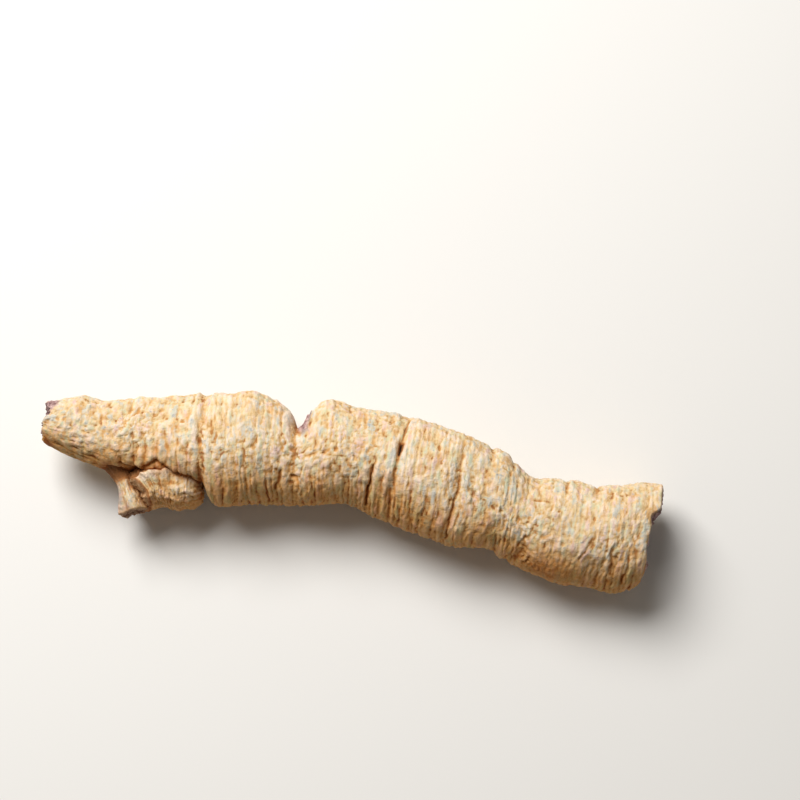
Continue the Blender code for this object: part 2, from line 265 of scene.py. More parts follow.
# Pits: the X and the turn, the half length along the root and the half width round it, the depth, in mm,
# and how brown they are.
PITS = (
    (-25.8, 94, 0.45, 0.75, 0.7, 0.9),
    (-25.0, 121, 0.35, 0.40, 0.6, 1.0),
    (-28.8, 75, 0.35, 0.35, 0.5, 0.8),
    (-31.6, 70, 0.30, 0.30, 0.3, 0.6),
    (-9.9, 121, 0.50, 0.45, 0.6, 0.8),
    (-6.8, 96, 1.00, 0.28, 0.5, 0.8),
    (-4.4, 96, 0.70, 0.30, 0.5, 0.8),
    (-2.5, 94, 0.35, 0.30, 0.5, 0.8),
    (5.8, 88, 0.35, 0.35, 0.3, 0.7),
    (7.7, 98, 0.35, 0.45, 0.6, 0.9),
    (20.9, 97, 0.40, 0.40, 0.4, 0.3),
    (25.6, 104, 0.30, 0.35, 0.4, 0.8),
    (31.4, 66, 0.80, 0.22, 0.3, 0.7),
    (33.1, 109, 0.55, 0.35, 0.4, 0.6),
    (36.4, 110, 0.50, 0.35, 0.3, 0.5),
    (40.6, 54, 0.30, 0.25, 0.3, 0.6),
    (40.9, 78, 0.22, 0.30, 0.4, 0.8),
    (34.8, 75, 0.25, 0.25, 0.4, 0.7),
    (-52.4, 98, 0.60, 1.10, 0.1, 0.7),
    (-40.9, 165, 1.00, 1.60, 1.0, 1.0),
)
LINE_STRAY = 0.18  # how far all marks stray along the root, in mm
LINE_SWING = 0.02  # and round it, as an angle
LINE_UNEVEN = 0.4  # how much a line's depth differs
LINE_STAIN = (2.2, 0.55, 0.45)  # a wider stain's width to the line's, its share, and the line's own
PIT_SPREAD = 1.6  # how far the stain of a pit spreads past it
# Where the purple flesh shows through torn bark: the X, the turn, the half sizes along and round it, and
# how far it stands out, in mm.
TORN = (
    (-8.2, 33, 1.1, 4.8, 0.8),
    (51.7, 72, 0.8, 0.9, 0.0),
    (-52.7, 36, 1.6, 4.2, 0.0),
)
TORN_EDGE = (1.25, 0.5)  # where the flesh ends, as a share of the half sizes, and its fading
TORN_ROUGH = 0.6
# Where the skin is left, ash grey: the X, the turn, the half sizes along and round it in mm, and how grey.
ASHY = (
    (-51.5, 78, 1.0, 0.9, 1.0),
    (-50.3, 61, 1.2, 0.7, 1.0),
    (-48.8, 126, 1.3, 0.6, 0.7),
    (-42.5, 83, 0.9, 0.9, 1.0),
    (-42.3, 110, 0.6, 0.9, 1.0),
    (-32.3, 107, 0.7, 1.5, 0.9),
    (-30.4, 62, 0.6, 1.9, 1.0),
    (-21.8, 99, 0.9, 1.7, 0.6),
    (-18.7, 123, 0.6, 2.0, 0.8),
    (-17.8, 79, 0.9, 1.5, 0.9),
    (-12.5, 95, 0.7, 0.9, 0.8),
    (-8.7, 124, 0.5, 0.4, 1.0),
    (-4.9, 61, 0.8, 0.6, 0.5),
    (-2.5, 147, 0.7, 0.6, 0.8),
    (-0.7, 84, 0.7, 1.0, 0.5),
    (1.2, 118, 0.6, 0.7, 0.9),
    (2.9, 52, 1.1, 2.3, 0.8),
    (6.7, 110, 0.8, 2.0, 0.8),
    (12.1, 58, 0.6, 2.8, 0.8),
    (14.2, 100, 0.7, 0.7, 0.9),
    (15.4, 64, 0.6, 1.8, 0.8),
    (20.0, 95, 0.7, 1.6, 0.8),
    (20.8, 40, 0.8, 2.5, 0.5),
    (21.1, 96, 0.5, 0.5, 1.0),
    (23.3, 101, 1.3, 1.3, 0.8),
    (24.7, 69, 0.8, 2.5, 0.7),
    (26.1, 147, 0.6, 1.6, 0.9),
    (28.9, 117, 0.9, 1.1, 0.8),
    (38.2, 52, 0.5, 1.8, 0.8),
    (43.2, 110, 0.5, 1.6, 1.0),
    (44.2, 68, 0.9, 2.2, 0.7),
    (49.4, 95, 1.9, 2.3, 0.8),
)
# Where the bark is browner than elsewhere, in the same way: a brown patch by the neck's end, and painted
# shade on the bulge by the knot and in the hollow beside the stump.
BROWN_AND_PAINTED_SHADE_SPOTS = (
    (34.3, 152, 6.0, 4.5, 0.72),
    (-52.3, 160, 1.9, 4.2, 1.1),
    (-41.0, 172, 3.0, 3.0, 1.15),
)
NECK_ASH = 0.3  # how grey the neck is all over
STUMP_ASH = 0.3  # and the stump
CLEAN_RIM = 0.4  # how far from an end the bark has no stain, in mm

# The lobe's ragged lip: its turn at the broken end, how much further round it is at the blunt end, how far
# it strays in degrees, its height and its half width.
LIP = (99, 38, 7, 0.6, 8)
LIP_TURNS = 0.5  # the share of the lobe over which the lip runs on round it
LIP_UNEVEN = 0.6
BEHIND_LIP = (0.65, 5, 16)  # how deep the bark lies behind the lip, the start and the fading in degrees
BEHIND_LIP_PAINTED_SHADE = (1.22, 6, 9)  # and how brown it is there, as painted shade in the crevice behind the lip, partly black
BEHIND_ENDS = (150, 70)  # how far round from the lip that ends, and the fading
LOBE_RECESS = (0.5, 0.13, 78, 16, 0.5, 0.7)  # under the lip: share, reach, turn, reach, depth, and its painted shade
LOBE_FOLDS = 0.35
LOBE_LUMP = 0.3
LOBE_STAIN = 0.3  # the least that its bark is browned
LOBE_END_STAIN = (0.93, 0.07)  # where its end's brown starts, as a share of its length, and the fading
LOBE_WANDER = (0.4, 0.1)  # how far its folds stray, and over which share of its length that sets in
BLUNT_HALF = (0.75, 0.4)  # the lobe's share that has strong ribs, and its fading
BLUNT_RIBS = 0.7  # how much stronger they are there

STUMP_RIDGE = (0.45, 42, 16)  # along its upper side, as ridge takes it
STUMP_RIDGE_FADE = (0.35, 0.3)  # from which share of the stump's length on, and the fading
STUMP_FINE = 0.6  # the stump's share of the fine wrinkles
STUMP_SMOOTH = (0.3, 0.4)  # where its wrinkles start, in the same way
STUMP_END_STAIN = (0.6, 0.93, 0.07)  # how brown its end is, and where, in the same way
STUMP_ROOT_PAINTED_SHADE = (1.22, 0.52, 0.14)  # and how brown where it leaves the neck, as painted shade in the crevice there, partly black
# Its purple -X side: how purple, the turn, the half width in degrees, the edges' fading, and the start and
# the fading along the stump. Its end: how purple, such a start and fading, and as low_side takes it.
STUMP_PURPLE = (0.5, 165, 60, 0.6, 0.3, 0.2)
STUMP_END_PURPLE = (0.5, 0.75, 0.2, 0.3, 0.5)

# How deep in a groove a place lies, from 0 to 1: on level bark, and how much less for each mm that it
# stands over the bark close round it and further round it, each in rings and columns.
GROOVE = (0.5, 1.9, 1.2)
NEAR_SPREAD = (2, 1)
FAR_SPREAD = (7, 4)
FLANK_PAINTED_SHADE_FADE = (0.1, 0.8, 0.15)  # where the painted shade on the -Y flank starts, over how much, and how far its edge strays
CREVICE_PAINTED_SHADE = (1.5, 1.1, 1.3)  # how far a crevice's painted shade browns the bark in mm, how much, and the fading's power

WALL_ABOVE = 0.5  # on a new cylinder's map its wall lies above this, and its ends below it
WALL_MAP = (1.96, 0.6, 0.01)  # how the wall is stretched along and across the sheet, and its margin
END_MAP = (0.2, (0.02, 0.75))  # how the ends are shrunk, and where they lie


class Run:
    """A smooth run through stations: what a station holds, at any distances along them."""

    def __init__(self, stations, squareness=1.0):
        self.squareness = squareness
        self.rows = np.array(stations)
        spans = np.linalg.norm(np.diff(self.rows[:, :2], axis=0), axis=1)
        self.marks = np.concatenate(([0.0], np.cumsum(spans)))
        self.slopes = np.gradient(self.rows, self.marks, axis=0)
        self.length = float(self.marks[-1])
        self.folds = round(self.length / FOLD_WIDTH)

    def at(self, distance):
        """A cubic curve from one station to the next, with the same slope on both sides of each."""
        k = np.clip(np.searchsorted(self.marks, distance) - 1, 0, len(self.marks) - 2)
        span = self.marks[k + 1] - self.marks[k]
        t = ((distance - self.marks[k]) / span)[:, None]
        span = span[:, None]
        return (
            (2 * t**3 - 3 * t**2 + 1) * self.rows[k]
            + (t**3 - 2 * t**2 + t) * span * self.slopes[k]
            + (3 * t**2 - 2 * t**3) * self.rows[k + 1]
            + (t**3 - t**2) * span * self.slopes[k + 1]
        )

    def sections(self, distance):
        """The middles, the onward and sideways directions and the two half sizes of the sections there."""
        found = self.at(distance)
        heading = np.radians(found[:, 5])
        level = np.zeros_like(heading)
        onward = np.stack((np.cos(heading), np.sin(heading), level), axis=1)
        side = np.stack((-np.sin(heading), np.cos(heading), level), axis=1)
        return found[:, :3], onward, side, found[:, 3], found[:, 4]

    def distance_at(self, x):
        """How far along the run its middle passes this X. The run's X has to grow."""
        return float(np.interp(x, self.rows[:, 0], self.marks))


ROOT_RUN = Run(ROOT)
LOBE_RUN = Run(LOBE, LOBE_SQUARENESS)
STUMP_RUN = Run(STUMP)
CRACK_MARKS = [ROOT_RUN.distance_at(crack[0]) for crack in CRACKS]


def bark_noise(distance, turn, patch, seed):
    """Smooth noise from about -1 to 1 over the bark, in patches of this length and width."""
    along, around = patch
    across = MIDDLING_RADIUS / around
    places = (distance / along + seed, across * np.cos(turn) - seed, across * np.sin(turn))
    return NOISE_REACH * np.array([noise.noise(place) for place in np.stack(places, axis=1).tolist()])


def fade(distance, reach):
    """From 0 at no distance to 1 at the reach, smoothly."""
    t = np.clip(distance / reach, 0.0, 1.0)
    return t * t * (3 - 2 * t)


def after(distance, start, reach):
    """From 0 up to the start to 1 when the reach is past it too, smoothly."""
    return fade(distance - start, reach)


def bell(off, reach):
    """From 1 in the middle to nothing well past the reach."""
    return np.exp(-((off / reach) ** 2))


def degrees_from(turn, middle):
    """How far a turn lies from another in degrees, the short way round."""
    return (np.degrees(turn) - middle + 180) % 360 - 180


def ridge(turn, height, middle, reach):
    """How high a soft ridge along the root stands: its height, its turn and its reach in degrees."""
    return height * bell(degrees_from(turn, middle), reach)


def low_side(turn, start, over):
    """From 0 to 1 towards the -Y side: the turn's cosine where it starts, and over how much of it."""
    return fade(start - np.cos(turn), over)


def crack_depth(distance, turn):
    """How far the cracks draw the bark in at a place."""
    total = np.zeros_like(distance)
    strayed = distance + CRACK_WANDER * bark_noise(distance, turn, SMALL_WANDER_PATCH, 17)
    for mark, (_, middle, reach, depth, half_width, slant) in zip(CRACK_MARKS, CRACKS):
        off = degrees_from(turn, middle) / reach
        total += depth * np.clip(1 - off * off, 0, 1) * bell(strayed - mark - slant * off, half_width)
    return total


def fold_relief(phase, distance, turn, seed, sides):
    """The bark's relief: crests and valleys by the phase of the fold, on slow swellings."""
    least, average, swing = FOLD_STRENGTH
    strength = np.maximum(least, average + swing * bark_noise(distance, turn, STRENGTH_PATCH, seed))
    crest = np.abs(np.sin(math.pi * phase)) ** FOLD_CREST - FOLD_CREST
    lumps = LUMP_HEIGHT * bark_noise(distance, turn, LUMP_PATCH, seed + 40)
    grain = GRAIN_HEIGHT * bark_noise(distance, turn, GRAIN_PATCH, seed + 70)
    return FOLD_DEPTH * strength * sides * crest + lumps + grain


def sided(turn):
    """How strong the folds are at a turn: weakest on the +Y side, strongest on the -Y side."""
    weakest, strongest = FOLD_SIDES
    return weakest + (strongest - weakest) * low_side(turn, *SIDE_FADE)


def rings(distance, turn, size, seed):
    """Fine rings that wander, meet and break off: the phase of the sum of many waves along the bark."""
    width, depth, most = size
    draw = np.random.default_rng(seed)
    total = np.zeros(len(distance), dtype=complex)
    for _ in range(RING_WAVES):
        along = 2 * math.pi / width * (1 + RING_SPREAD * draw.uniform(-1, 1))
        climbs = draw.integers(-most, most + 1)
        total += np.exp(1j * (along * distance + climbs * turn + draw.uniform(0, ANY_PHASE)))
    off_crest = np.abs(np.angle(total)) / math.pi
    clear = np.clip(RING_CLEAR * np.abs(total) / math.sqrt(RING_WAVES), 0, 1)
    return depth * clear * (RING_CREST - off_crest**RING_NARROWS)


def pebbles(distance, turn, seed):
    """Rounded crumbs pressed together: 1 on each and 0 in the gaps between them."""
    _, long, wide, gap = PEBBLE
    draw = np.random.default_rng(seed)
    rows = int((distance.max() - distance.min()) / long) + 3
    columns = round(2 * math.pi * MIDDLING_RADIUS / wide)
    middles = kdtree.KDTree(rows * columns)
    for row in range(rows):
        for column in range(columns):
            along = distance.min() / long + row - 1 + draw.uniform(-PEBBLE_STRAY, PEBBLE_STRAY)
            around = (column + draw.uniform(-PEBBLE_STRAY, PEBBLE_STRAY)) * 2 * math.pi / columns
            middles.insert(on_drum(along, around, wide), 0)
    middles.balance()
    places = np.stack(on_drum(distance / long, turn, wide), axis=1).tolist()
    pairs = (middles.find_n(place, 2) for place in places)
    return fade(np.array([pair[1][2] - pair[0][2] for pair in pairs]), gap)


def on_drum(along, turn, wide):
    """A place on a drum of the root's middling radius, measured in pebbles."""
    return along, MIDDLING_RADIUS / wide * np.cos(turn), MIDDLING_RADIUS / wide * np.sin(turn)


def fine_relief(distance, turn, seed, pebbled, long_share=0.0, calm=1.0):
    """The wrinkles that only this scene has: rings, pebbled patches, crumbs and pits."""
    warped = distance + WARP * bark_noise(distance, turn, WARP_PATCH, seed + 1)
    zone = pebbled + ZONE_SWING * bark_noise(distance, turn, PEBBLED_ZONE_PATCH, seed + 7)
    zone = np.clip(zone, 0.0, 1.0)
    low = low_side(turn, *LOW_FADE)
    crumbed = 1 - CRUMB_LOW * low + ridge(turn, *CRUMB_HIGH) - CRUMB_LONG * long_share
    to_furrows, to_pebbles = RINGS_LOST
    on_top, more_low = RING_SHARE
    ringed = calm * (1 - to_furrows * long_share) * (1 - to_pebbles * zone) * (on_top + more_low * low)
    crumbs = bark_noise(warped, turn, CRUMB_PATCH, seed + 3)
    edge, deeper = PIT_STARTS
    anywhere, more_pebbled = PIT_SHARE
    pits = np.clip(bark_noise(warped, turn, PIT_PATCH, seed + 8) - edge, 0.0, deeper) / deeper
    pits = pits * (anywhere + more_pebbled * zone)
    long_furrows = bell(bark_noise(distance, turn, LONG_FURROW_PATCH, seed + 9), LONG_FURROW_NARROW)
    relief = (
        ringed * (rings(warped, turn, RINGS, seed + 10) + rings(warped, turn, FINE_RINGS, seed + 11))
        + PEBBLE[0] * zone * (pebbles(warped + PEBBLE_CRUMB * crumbs, turn, seed + 4) - PEBBLE_CREST)
        + CRUMB * crumbs * crumbed
        - LONG_FURROW * long_furrows * long_share
        - PIT_DEPTH * pits
    )
    return relief, PIT_STAIN * pits


def oval(distance, turn, x, degrees, long, wide):
    """How far places lie from a place on the root's bark, as a share of the half sizes of an oval there."""
    along = (distance - ROOT_RUN.distance_at(x)) / long
    around = MIDDLING_RADIUS * np.radians(degrees_from(turn, degrees)) / wide
    return np.hypot(along, around)


def spot(distance, turn, x, degrees, long, wide, strength):
    """A soft oval spot on the root's bark, with this strength in its middle."""
    return strength * bell(oval(distance, turn, x, degrees, long, wide), 1)


def line_distance(distance, turn, places):
    """How far places on the root's bark lie from a line that passes these ones, in mm."""
    ends = [(ROOT_RUN.distance_at(x), math.radians(degrees)) for x, degrees in places]
    nearest = np.full_like(distance, 1e3)
    for (from_distance, from_turn), (to_distance, to_turn) in zip(ends, ends[1:]):
        along = distance - from_distance
        around = MIDDLING_RADIUS * np.radians(degrees_from(turn, math.degrees(from_turn)))
        step = (to_distance - from_distance, MIDDLING_RADIUS * (to_turn - from_turn))
        share = np.clip((along * step[0] + around * step[1]) / (step[0] ** 2 + step[1] ** 2), 0, 1)
        nearest = np.minimum(nearest, np.hypot(along - share * step[0], around - share * step[1]))
    return nearest


def marks(distance, turn):
    """The lines, pits, torn places, spots of colour and spots of painted shade: their depth, stain and
    painted shade, flesh and ash grey.
    """
    strayed = distance + LINE_STRAY * bark_noise(distance, turn, STRAY_PATCH, 61)
    swung = turn + LINE_SWING * bark_noise(distance, turn, STRAY_PATCH, 62)
    uneven = 1 + LINE_UNEVEN * bark_noise(distance, turn, LINE_PATCH, 63)
    depth = np.zeros_like(distance)
    stain_and_painted_shade = np.zeros_like(distance)
    flesh = np.zeros_like(distance)
    ash = np.zeros_like(distance)
    widened, wide_share, near_share = LINE_STAIN
    for half_width, deep, brown, places in LINES:
        off = line_distance(strayed, swung, places)
        near = bell(off, half_width)
        depth = np.maximum(depth, deep * near * uneven)
        spread_out = bell(off, widened * half_width)
        stain_and_painted_shade = np.maximum(stain_and_painted_shade, brown * (wide_share * spread_out + near_share * near))
    for x, degrees, long, wide, deep, brown in PITS:
        off = oval(strayed, swung, x, degrees, long, wide)
        depth = np.maximum(depth, deep * np.exp(-(off**3)))
        stain_and_painted_shade = np.maximum(stain_and_painted_shade, brown * np.exp(-(off**2) / PIT_SPREAD))
    edge, fading = TORN_EDGE
    for x, degrees, long, wide, high in TORN:
        torn = fade(edge - oval(strayed, swung, x, degrees, long, wide), fading)
        flesh = np.maximum(flesh, torn)
        depth -= high * torn * (1 + TORN_ROUGH * bark_noise(distance, turn, FINE_TORN_PATCH, 71))
    # A brown patch, and painted shade on the bulge and in the hollow beside the stump.
    for place in BROWN_AND_PAINTED_SHADE_SPOTS:
        stain_and_painted_shade = np.maximum(stain_and_painted_shade, spot(strayed, swung, *place))
    for place in ASHY:
        ash = np.maximum(ash, spot(strayed, swung, *place))
    return depth, np.clip(stain_and_painted_shade, 0, 2), flesh, ash


def ragged_rim(turn, seed):
    """How far a broken rim stands out from its plane at a turn."""
    places = np.stack((TEETH * np.cos(turn), TEETH * np.sin(turn), np.full_like(turn, seed)), axis=1)
    return RAGGED * np.array([noise.noise(place) for place in places.tolist()])


def neck_rim(turn):
    """The neck broke askew: its underside reaches furthest and its upper +Y side is chipped back."""
    back = NECK_SLANT * np.sin(turn) + NECK_LOW_SIDE * np.clip(-np.cos(turn), 0, 1)
    return back + ridge(turn, *NECK_CHIP) + ragged_rim(turn, 3)


def cut_rim(turn):
    """The thick end was cut in two goes, so its rim steps out on the +Y side."""
    reach, half_width, fading = CUT_STEP
    step = fade(half_width + fading - np.abs(degrees_from(turn, 0)), fading)
    slant = CUT_SLANT * np.clip(degrees_from(turn, 0) / half_width, 0, 1)
    return (reach - slant) * step - CUT_BACK + ragged_rim(turn, 7)


def root_bark(share, turn):
    """Where places on the root's bark lie along it, how far their relief stands out, and their stain and
    painted shade, flesh and ash grey."""
    straight = share * ROOT_RUN.length
    from_neck = fade(straight, RIM_REACH)
    from_cut = fade(ROOT_RUN.length - straight, RIM_REACH)
    wide, small = FOLD_WANDER
    wander = wide * bark_noise(straight, turn, WANDER_PATCH, 11)
    wander += small * bark_noise(straight, turn, SMALL_WANDER_PATCH, 12)
    rims = (1 - from_neck) * neck_rim(turn) + (1 - from_cut) * cut_rim(turn)
    distance = straight + from_neck * from_cut * wander + rims

    least, held, fading = NECK_CALM
    calm = least + (1 - least) * fade(straight - held, fading)
    folded = least + (1 - least) * fade(straight - FOLDS_SOONER * held, FOLDS_SOONER * fading)
    more, middle, reach = SHOULDER_FOLDS
    folded = folded + more * bell(straight - middle, reach)
    placid = 1 - spot(distance, turn, *CALM_PLACE)
    raised = folded * placid * fold_relief(share * ROOT_RUN.folds, straight, turn, 5, sided(turn))

    on_neck = 1 - after(straight, *NECK_FADE)
    furrowed = on_neck * low_side(turn, *LONG_FADE)
    anywhere, more_on_neck = PEBBLED_ANYWHERE
    pebbled = anywhere + more_on_neck * on_neck + ridge(turn, *PEBBLED_TOP)
    for place in PEBBLED_PLACES:
        pebbled += spot(distance, turn, *place)
    fine, stain_and_painted_shade = fine_relief(distance, turn, 100, pebbled, furrowed, calm * placid)
    raised = raised + (1 - calm) * NECK_LUMP * bark_noise(distance, turn, NECK_LUMP_PATCH, 72)

    x, degrees, height, spacing, reach = CREASES
    from_knot = MIDDLING_RADIUS * oval(distance, turn, x, degrees, MIDDLING_RADIUS, MIDDLING_RADIUS)
    from_knot = from_knot + CREASE_STRAY * bark_noise(distance, turn, WARP_PATCH, 73)
    raised += height * np.cos(2 * math.pi * from_knot / spacing) * bell(from_knot, reach)
    depth, brown, flesh, ash = marks(distance, turn)
    for x, degrees, long, wide, deep in DENTS:
        depth = depth + deep * np.exp(-(oval(distance, turn, x, degrees, long, wide) ** 3))
    ash = np.maximum(ash, NECK_ASH * on_neck)
    raised = raised - crack_depth(distance, turn) + fine - depth
    inside = fade(np.minimum(straight, ROOT_RUN.length - straight), CLEAN_RIM)
    return distance, raised, np.maximum(stain_and_painted_shade, brown) * inside, flesh, ash


def lobe_bark(share, turn):
    """The lobe has a ragged lip along the crevice, bark behind it browned with painted shade, and ribs
    below it.
    """
    straight = share * LOBE_RUN.length
    wander, fading = LOBE_WANDER
    wander = wander * fade(share, fading) * bark_noise(straight, turn, SMALL_PATCH, 21)
    askew = share**3 * (ragged_rim(turn, 8) - LOBE_SLANT * np.sin(turn))
    start, fading = BLUNT_HALF
    blunt = fade(start - share, fading)
    raised = LOBE_FOLDS * fold_relief(share * LOBE_RUN.folds, straight, turn, 25, 1 + blunt)
    raised += LOBE_LUMP * bark_noise(straight, turn, LOBE_PATCH, 23)

    uneven = bark_noise(straight, turn, LIP_PATCH, 24)
    lip_turn, further, strays, high, wide = LIP
    from_lip = degrees_from(turn, lip_turn + further * fade(LIP_TURNS - share, LIP_TURNS) + strays * uneven)
    ends, fading = BEHIND_ENDS
    behind = fade(ends - from_lip, fading)
    back, start, fading = BEHIND_LIP
    raised += high * (1 + LIP_UNEVEN * uneven) * bell(from_lip, wide)
    raised -= back * fade(from_lip - start, fading) * behind
    fine, stain_and_painted_shade = fine_relief(straight, turn, 200, 0.0, calm=1 + BLUNT_RIBS * blunt)

    along, long, middle, wide, deep, recess_painted_shade = LOBE_RECESS
    recess = bell(share - along, long) * bell(degrees_from(turn, middle), wide)
    raised = raised - deep * recess
    # Painted shade behind the lip and in the recess under it, browned and partly black.
    how_brown, start, fading = BEHIND_LIP_PAINTED_SHADE
    brown = np.maximum(how_brown * fade(from_lip - start, fading) * behind, recess_painted_shade * recess)
    brown = np.maximum(brown, after(share, *LOBE_END_STAIN))
    stain_and_painted_shade = np.maximum(np.maximum(stain_and_painted_shade, brown), LOBE_STAIN)
    nothing = np.zeros_like(turn)
    return straight + wander + askew, raised + fine, stain_and_painted_shade, nothing, nothing


def stump_bark(share, turn):
    """The stump's wrinkles run along it, its -X side is purple, and its broken end is ragged."""
    straight = share * STUMP_RUN.length
    height, count = STUMP_RIBS
    ribs = height * np.sin(count * turn + 1) + GRAIN_HEIGHT * bark_noise(straight, turn, GRAIN_PATCH, 33)
    ribs += ridge(turn, *STUMP_RIDGE) * after(share, *STUMP_RIDGE_FADE)
    ribs = ribs * after(share, *STUMP_SMOOTH)
    askew = ragged_rim(turn, 9) - STUMP_SLANT * np.sin(turn)
    fine, stain_and_painted_shade = fine_relief(straight, turn, 300, 0.0, np.ones_like(turn))
    how_brown, *where = STUMP_END_STAIN
    stain_and_painted_shade = np.maximum(stain_and_painted_shade, how_brown * after(share, *where))
    # Painted shade in the crevice where the stump leaves the neck.
    how_brown, end, fading = STUMP_ROOT_PAINTED_SHADE
    stain_and_painted_shade = np.maximum(stain_and_painted_shade, how_brown * fade(end - share, fading))
    how_purple, middle, wide, edge, start, fading = STUMP_PURPLE
    side = fade(1 - np.abs(degrees_from(turn, middle)) / wide, edge) * fade(share - start, fading)
    end_purple, start, fading, low, over = STUMP_END_PURPLE
    end = fade(share - start, fading) * low_side(turn, low, over)
    purple = np.maximum(how_purple * side, end_purple * end)
    return straight + share * askew, ribs + STUMP_FINE * fine, stain_and_painted_shade, purple, np.full_like(turn, STUMP_ASH)


def ringed_cylinder(name, columns, first_cuts, second_cuts):
    """A closed unit cylinder, cut twice across into (first_cuts + 1) * (second_cuts + 1) bands."""
    bpy.ops.object.select_all(action="DESELECT")
    bpy.ops.mesh.primitive_cylinder_add(vertices=columns, radius=1, depth=1, end_fill_type="TRIFAN")
    piece = bpy.context.object
    piece.name = name
    bpy.ops.object.mode_set(mode="EDIT")
    for cuts in (first_cuts, second_cuts):
        bpy.ops.mesh.select_all(action="DESELECT")
        shape = bmesh.from_edit_mesh(piece.data)
        for edge in shape.edges:
            low, high = edge.verts
            edge.select_set(abs(low.co.z - high.co.z) > 1e-6)
        bmesh.update_edit_mesh(piece.data)
        bpy.ops.mesh.subdivide(number_cuts=cuts)
    bpy.ops.object.mode_set(mode="OBJECT")
    return piece


def end_profile(end, steps):
    """The end's rings from rim to middle, as shares of the section and distances outside the rim."""
    shares, outs = np.array(end).T
    reach = np.concatenate(([0.0], np.cumsum(np.hypot(np.diff(shares) * MIDDLING_RADIUS, np.diff(outs)))))
    at = np.linspace(0.0, reach[-1], steps + 1)[1:]
    return np.interp(at, reach, shares), np.interp(at, reach, outs)


def grow(name, run, columns, cuts, end_rings, ends, bark, seed):
    """Draws a ringed cylinder over a run, and notes on each vertex where it is and how deep it lies."""
    piece = ringed_cylinder(name, columns, *cuts)
    total = (cuts[0] + 1) * (cuts[1] + 1) + 1
    mesh = piece.data
    count = len(mesh.vertices)
    unit = np.empty(count * 3)
    mesh.vertices.foreach_get("co", unit)
    unit = unit.reshape(count, 3)
    hub = np.hypot(unit[:, 0], unit[:, 1]) < 0.5
    turn = np.arctan2(unit[:, 1], unit[:, 0])
    bands = total - 2 * end_rings
    ring = np.round((unit[:, 2] + 0.5) * (total - 1)).astype(int) - end_rings
    share = np.ones(count)
    beyond = np.zeros(count)
    ways = np.ones(count)
    broken = np.ones(count)
    for end, inside, way in ((ends[0], -ring - 1, -1), (ends[1], ring - bands, 1)):
        shares, outs = end_profile(end, end_rings)
        here = inside >= 0
        share[here] = shares[inside[here]]
        beyond[here] = outs[inside[here]]
        ways[here] = way
        broken[here] = end is not ROUND_END
    in_end = np.clip(np.maximum(-ring, ring - bands + 1), 0, None)
    from_middle = share * MIDDLING_RADIUS
    rough = bark_noise(from_middle, turn, TORN_PATCH, seed)
    rough = rough + FINE_ROUGH * bark_noise(from_middle, turn, FINE_TORN_PATCH, seed + 1)
    in_root, in_others = END_ROUGH
    rough = rough * (in_root if run is ROOT_RUN else in_others)
    out = ways * (beyond + rough * fade(in_end, ROUGH_RINGS))
    distance, raised, stain_and_painted_shade, torn, ash = bark(np.clip(ring, 0, bands - 1) / (bands - 1), turn)
    raised[hub] = 0
    held = np.clip(distance, 0.0, run.length)
    middle, onward, side, wide, high = run.sections(held)
    cosine, sine = np.cos(turn), np.sin(turn)
    across = share * np.sign(cosine) * np.abs(cosine) ** run.squareness * (wide + raised) * ~hub
    rise = share * np.sign(sine) * np.abs(sine) ** run.squareness * (high + raised) * ~hub
    place = middle + side * across[:, None] + onward * (distance - held + out)[:, None]
    place[:, 2] += rise
    place[:, :2] -= BOX_MIDDLE
    place[:, 2] = np.maximum(place[:, 2], FLOOR)
    mesh.vertices.foreach_set("co", (place * MM).ravel())

    grid = np.zeros((total, columns))
    column = np.round(turn / (2 * math.pi / columns)).astype(int) % columns
    grid[(ring + end_rings)[~hub], column[~hub]] = raised[~hub]
    near = (grid - spread(grid, *NEAR_SPREAD))[ring + end_rings, column]
    far = (grid - spread(grid, *FAR_SPREAD))[ring + end_rings, column]
    # The material browns places by how deep in a groove they lie: partly the furrows' own colour, partly
    # painted shade in them.
    level, from_near, from_far = GROOVE
    note(mesh, "groove", np.clip(level - from_near * near - from_far * far, 0, 1))
    # Real stains together with painted shade in crevices and deep cracks.
    note(mesh, "stain_and_painted_shade", stain_and_painted_shade)
    note(mesh, "flesh", np.maximum(fade(in_end, FLESH_RINGS) * broken, torn))
    note(mesh, "ash", ash)
    # Painted shade: the flesh darkens to near-black purple the deeper it lies in an end's hollow.
    note(mesh, "hollow_painted_shade", after(-beyond, *HOLLOW_PAINTED_SHADE_FADE))
    # Painted shade on the flank that faces -Y, away from the window, for the material to darken and brown.
    start, over, swing = FLANK_PAINTED_SHADE_FADE
    facing = -side[:, 1] * cosine  # 1 where the bark faces -Y
    facing = facing - start + swing * bark_noise(distance, turn, LUMP_PATCH, seed + 3)
    note(mesh, "flank_painted_shade", fade(facing, over))
    straightened = (distance, MIDDLING_RADIUS * cosine, MIDDLING_RADIUS * sine)
    note(mesh, "bark_place", np.stack(straightened, axis=1))
    mesh.shade_smooth()
    mesh.update()
    return piece


def spread(grid, rows, columns):
    """The grid blurred over this many rows and columns to each side. Columns go on round the root."""
    total = sum(np.roll(grid, k, axis=1) for k in range(-columns, columns + 1)) / (2 * columns + 1)
    padded = np.pad(total, ((rows, rows), (0, 0)), mode="edge")
    return sum(padded[k:k + len(grid)] for k in range(2 * rows + 1)) / (2 * rows + 1)


def note(mesh, name, values):
    """Writes a value for each vertex, which the bark's material reads by its name."""
    kind, field = ("FLOAT", "value") if values.ndim == 1 else ("FLOAT_VECTOR", "vector")
    layer = mesh.attributes.new(name, kind, "POINT")
    layer.data.foreach_set(field, values.astype(np.float32).ravel())


